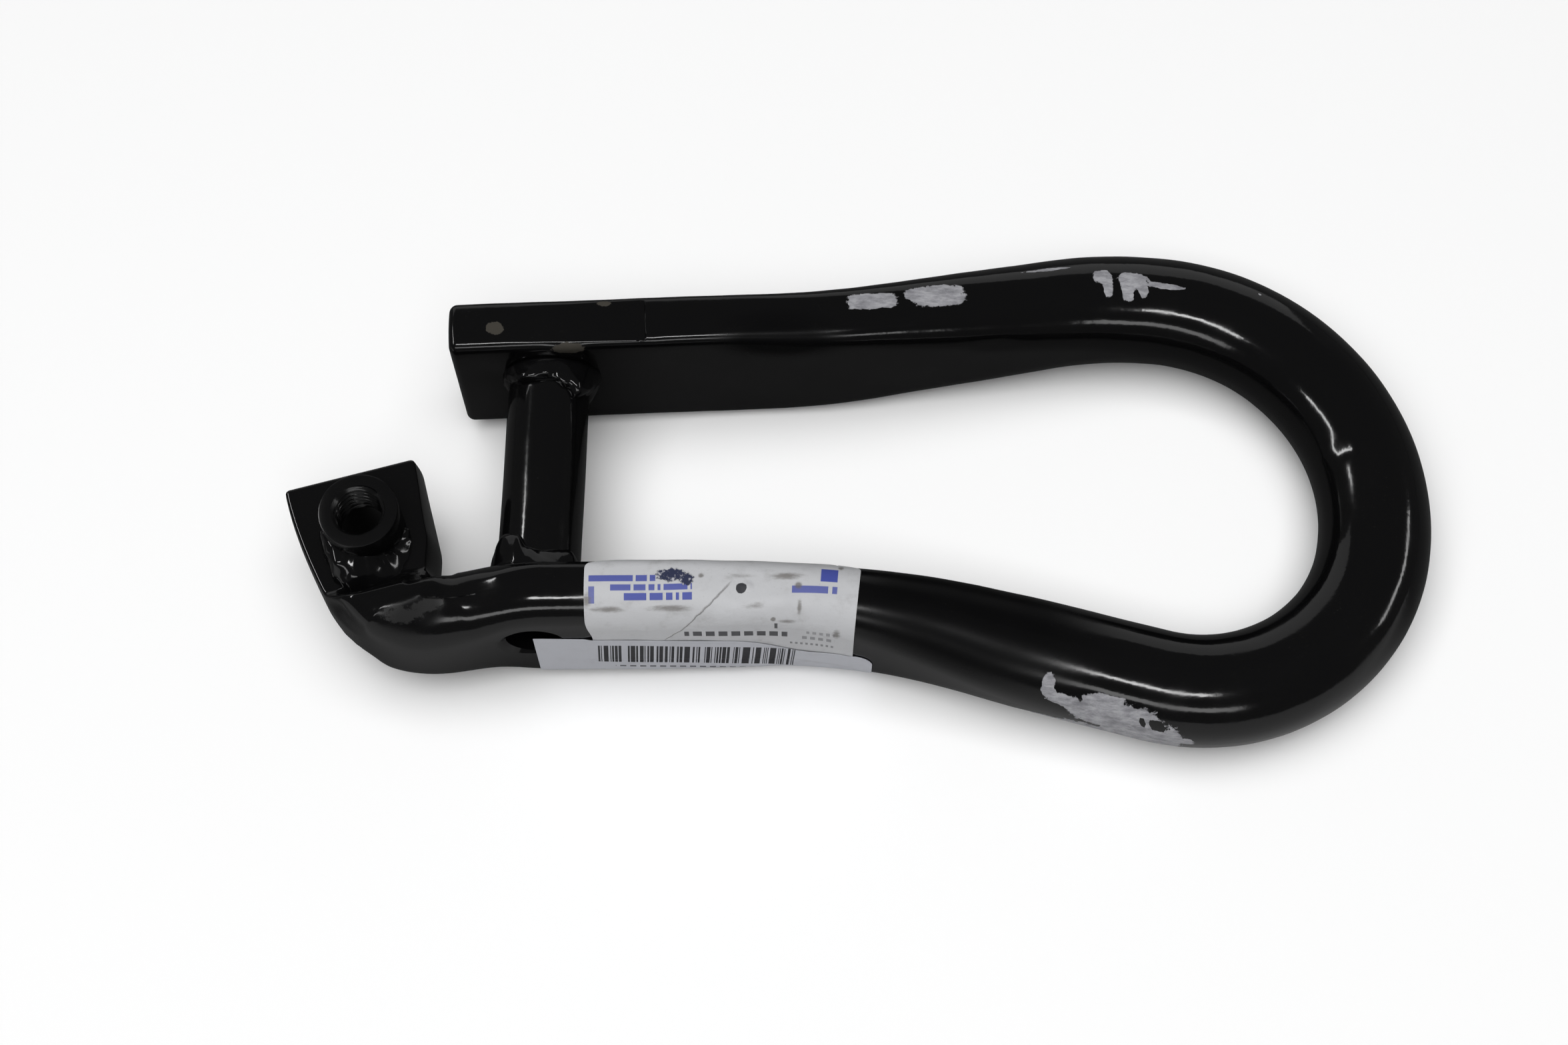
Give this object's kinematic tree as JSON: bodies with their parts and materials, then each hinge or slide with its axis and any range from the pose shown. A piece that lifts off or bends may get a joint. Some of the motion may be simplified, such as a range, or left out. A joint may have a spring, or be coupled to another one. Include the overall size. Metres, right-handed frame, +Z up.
{
  "type": "recovery tow hook",
  "caption": "Welded steel recovery hook: a bar bent to a teardrop loop with pressed legs, a spacer sleeve across them, a nut on its side paddle and paper labels.",
  "frame": {"origin": "middle of the hook's box, on the surface that it lies on", "axes": "+X along the hook from the cut ends to the nose, +Y from the lower leg to the upper leg, +Z up from the surface it lies on"},
  "size_m": [0.2626, 0.1224, 0.0435],
  "materials": {
    "coated_bar": "gloss black coat over steel, scuffed grey in places",
    "coated_sleeve": "gloss black coat over steel tube",
    "coated_nut": "satin black coat over a turned steel nut",
    "coated_weld": "gloss black coat over lumpy weld metal",
    "part_label_paper": "white paper label, worn, with blue and grey print",
    "barcode_label_paper": "white paper label with a row of dark bars"
  },
  "bodies": {
    "root": {"hook_bar": "coated_bar", "spacer_sleeve": "coated_sleeve", "weld_nut": "coated_nut", "sleeve_weld_lower": "coated_weld", "sleeve_weld_upper": "coated_weld", "nut_weld": "coated_weld", "part_label": "part_label_paper", "barcode_label": "barcode_label_paper"}
  },
  "joints": []
}
